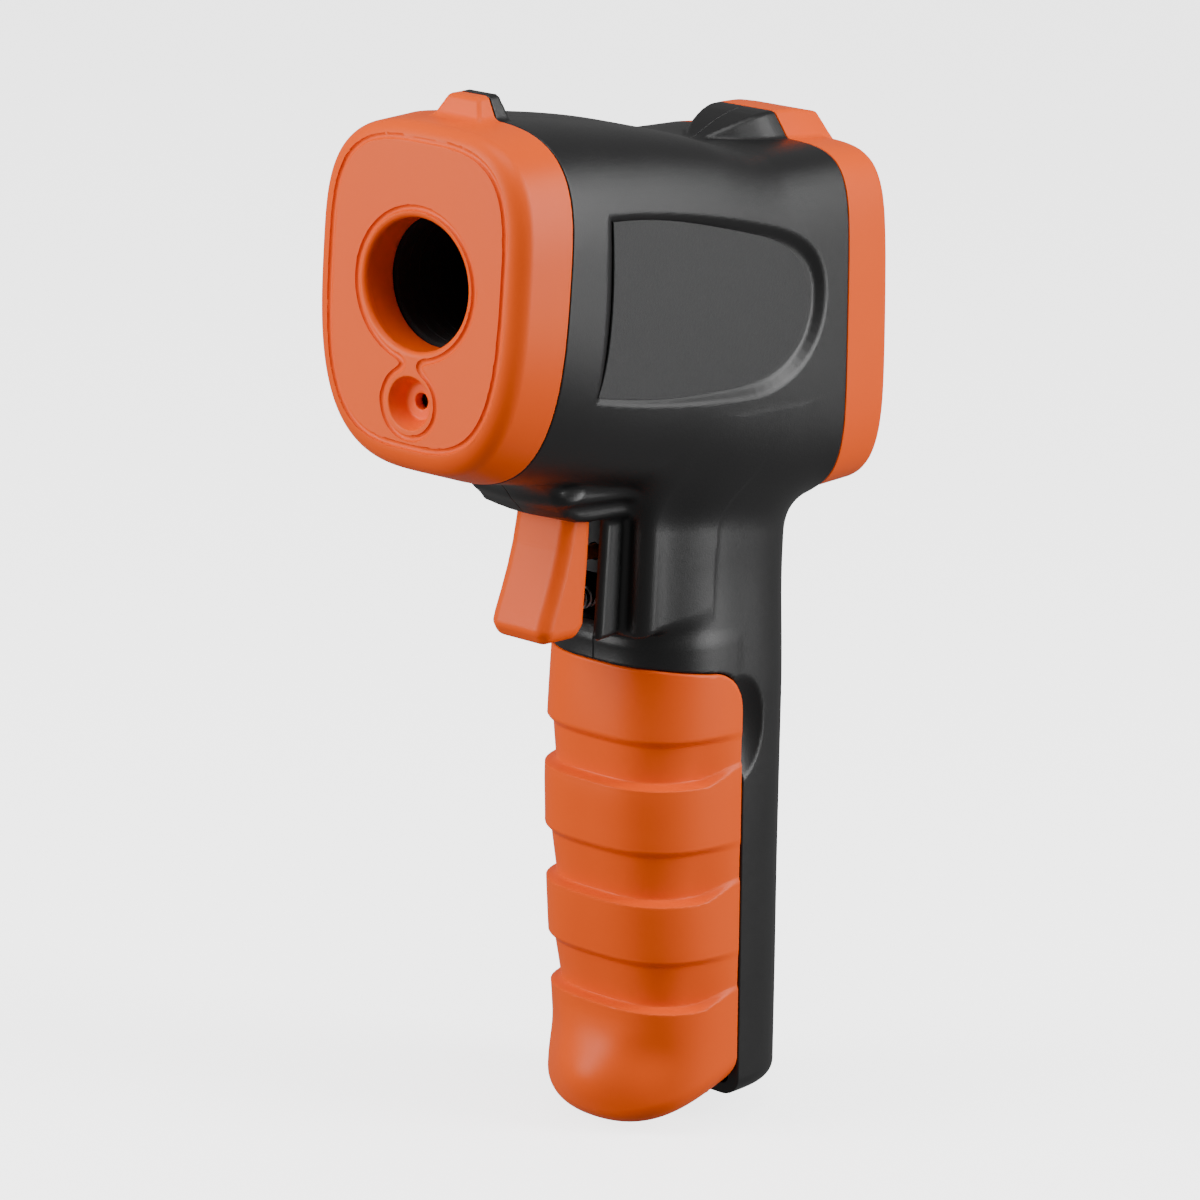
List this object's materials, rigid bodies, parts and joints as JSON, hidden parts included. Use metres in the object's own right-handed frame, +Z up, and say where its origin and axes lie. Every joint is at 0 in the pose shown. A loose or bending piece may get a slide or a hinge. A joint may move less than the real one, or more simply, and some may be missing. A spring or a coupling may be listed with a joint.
{
  "type": "infrared thermometer",
  "caption": "Pistol-type infrared thermometer with a black split body, orange bezels, squeeze trigger and hinged grip door.",
  "frame": {"origin": "centre of the bounding box's underside, below the toe of the grip door", "axes": "+Z up along the grip, -Y the way the lens looks, +X to the left-hand side of the person holding it"},
  "size_m": [0.043, 0.0976, 0.1772],
  "materials": {
    "black_plastic": "fine satin moulded black",
    "orange_plastic": "satin moulded orange",
    "label": "textured dark film",
    "infrared_optic": "dark infrared glass",
    "clear_optic": "clear polished",
    "display": "grey-green segment display",
    "circuit_board": "green solder mask",
    "chip_black": "moulded black resin",
    "plated_steel": "nickel plated",
    "brass": "turned brass",
    "battery_jacket": "printed sleeve",
    "grey_rubber": "silicone rubber",
    "switch_orange": "moulded nylon",
    "red_insulation": "wire insulation",
    "black_insulation": "wire insulation"
  },
  "bodies": {
    "housing": {"left_shell": "black_plastic", "right_shell": "black_plastic", "front_bezel": "orange_plastic", "rear_bezel": "orange_plastic", "sensor_barrel": "black_plastic", "infrared_lens": "infrared_optic", "thermopile_sensor": "plated_steel", "laser_module": "brass", "laser_lens": "clear_optic", "display_window": "clear_optic", "display_module": "display", "display_board": "circuit_board", "keypad_mat": "grey_rubber", "main_board": "circuit_board", "controller_chip": "chip_black", "buzzer": "chip_black", "board_screw_1": "plated_steel", "board_screw_2": "plated_steel", "body_screw_1": "plated_steel", "body_screw_2": "plated_steel", "body_screw_3": "plated_steel", "body_screw_4": "plated_steel", "body_screw_5": "plated_steel", "trigger_pin": "plated_steel", "switch_body": "chip_black", "trigger_spring": "plated_steel", "battery_tray": "black_plastic", "battery_left": "battery_jacket", "battery_right": "battery_jacket", "contact_plate_left": "plated_steel", "contact_plate_right": "plated_steel", "contact_spring_left": "plated_steel", "contact_link": "plated_steel", "battery_lead_positive": "red_insulation", "battery_lead_negative": "black_insulation", "label_left": "label", "label_right": "label"},
    "trigger": {"trigger": "orange_plastic"},
    "switch_plunger": {"switch_plunger": "switch_orange"},
    "battery_door": {"battery_door": "orange_plastic"},
    "up_button": {"up_button": "grey_rubber"},
    "mode_button": {"mode_button": "grey_rubber"},
    "down_button": {"down_button": "grey_rubber"}
  },
  "joints": [
    {"name": "trigger_pull", "type": "hinge", "parent": "housing", "child": "trigger", "pos_m": [0, -0.01283, 0.11483], "axis": [1, 0, 0], "range_deg": [0, 6.5], "stiffness_Nm_per_rad": 0.6, "springref_deg": -2.86, "deforming": ["trigger_spring"]},
    {"name": "switch_press", "type": "slide", "parent": "housing", "child": "switch_plunger", "axis": [0, 1, 0], "range_m": [0, 0.0018]},
    {"name": "door_hinge", "type": "hinge", "parent": "housing", "child": "battery_door", "pos_m": [0, 0.01867, 0.00883], "axis": [1, 0, 0], "range_deg": [0, 75]},
    {"name": "up_button_press", "type": "slide", "parent": "housing", "child": "up_button", "axis": [0, -0.9959, -0.0906], "range_m": [0, 0.0008], "stiffness_N_per_m": 900, "springref_m": -0.0005},
    {"name": "mode_button_press", "type": "slide", "parent": "housing", "child": "mode_button", "axis": [0, -0.9959, -0.0906], "range_m": [0, 0.0008], "stiffness_N_per_m": 900, "springref_m": -0.0005},
    {"name": "down_button_press", "type": "slide", "parent": "housing", "child": "down_button", "axis": [0, -0.9959, -0.0906], "range_m": [0, 0.0008], "stiffness_N_per_m": 900, "springref_m": -0.0005}
  ],
  "couplings": [
    {"joint": "switch_press", "follows": "trigger_pull", "m_per_rad": 0.015}
  ]
}
